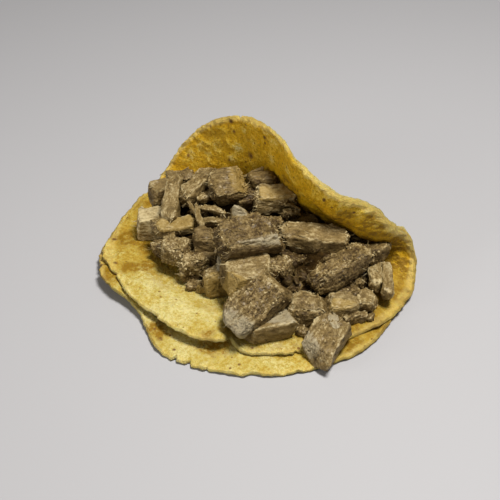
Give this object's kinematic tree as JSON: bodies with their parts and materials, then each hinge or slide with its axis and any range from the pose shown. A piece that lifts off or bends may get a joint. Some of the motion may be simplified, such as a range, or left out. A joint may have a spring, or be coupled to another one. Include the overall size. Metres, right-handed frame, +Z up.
{
  "type": "taco",
  "caption": "Open folded taco: paired soft corn tortillas, the far half standing up behind a heap of coarsely chopped braised meat that spills towards the open front.",
  "frame": {"origin": "middle of the whole taco's bounding box, on the surface it rests on", "axes": "+X along the fold, towards the end where the flap curls over the meat; -Y towards the open front; +Z up"},
  "size_m": [0.1524, 0.1141, 0.0607],
  "materials": {
    "corn_tortilla": "matt, warm yellow soft corn dough with toasted flecks and oil-soaked patches",
    "chopped_meat": "moist grey-brown cooked meat, fibrous along the grain and crumbly at the cut ends"
  },
  "bodies": {
    "root": {"lower_tortilla": "corn_tortilla", "upper_tortilla": "corn_tortilla", "meat_heap": "chopped_meat", "loose_meat_front": "chopped_meat", "loose_meat_left": "chopped_meat", "loose_meat_right": "chopped_meat"}
  },
  "joints": []
}
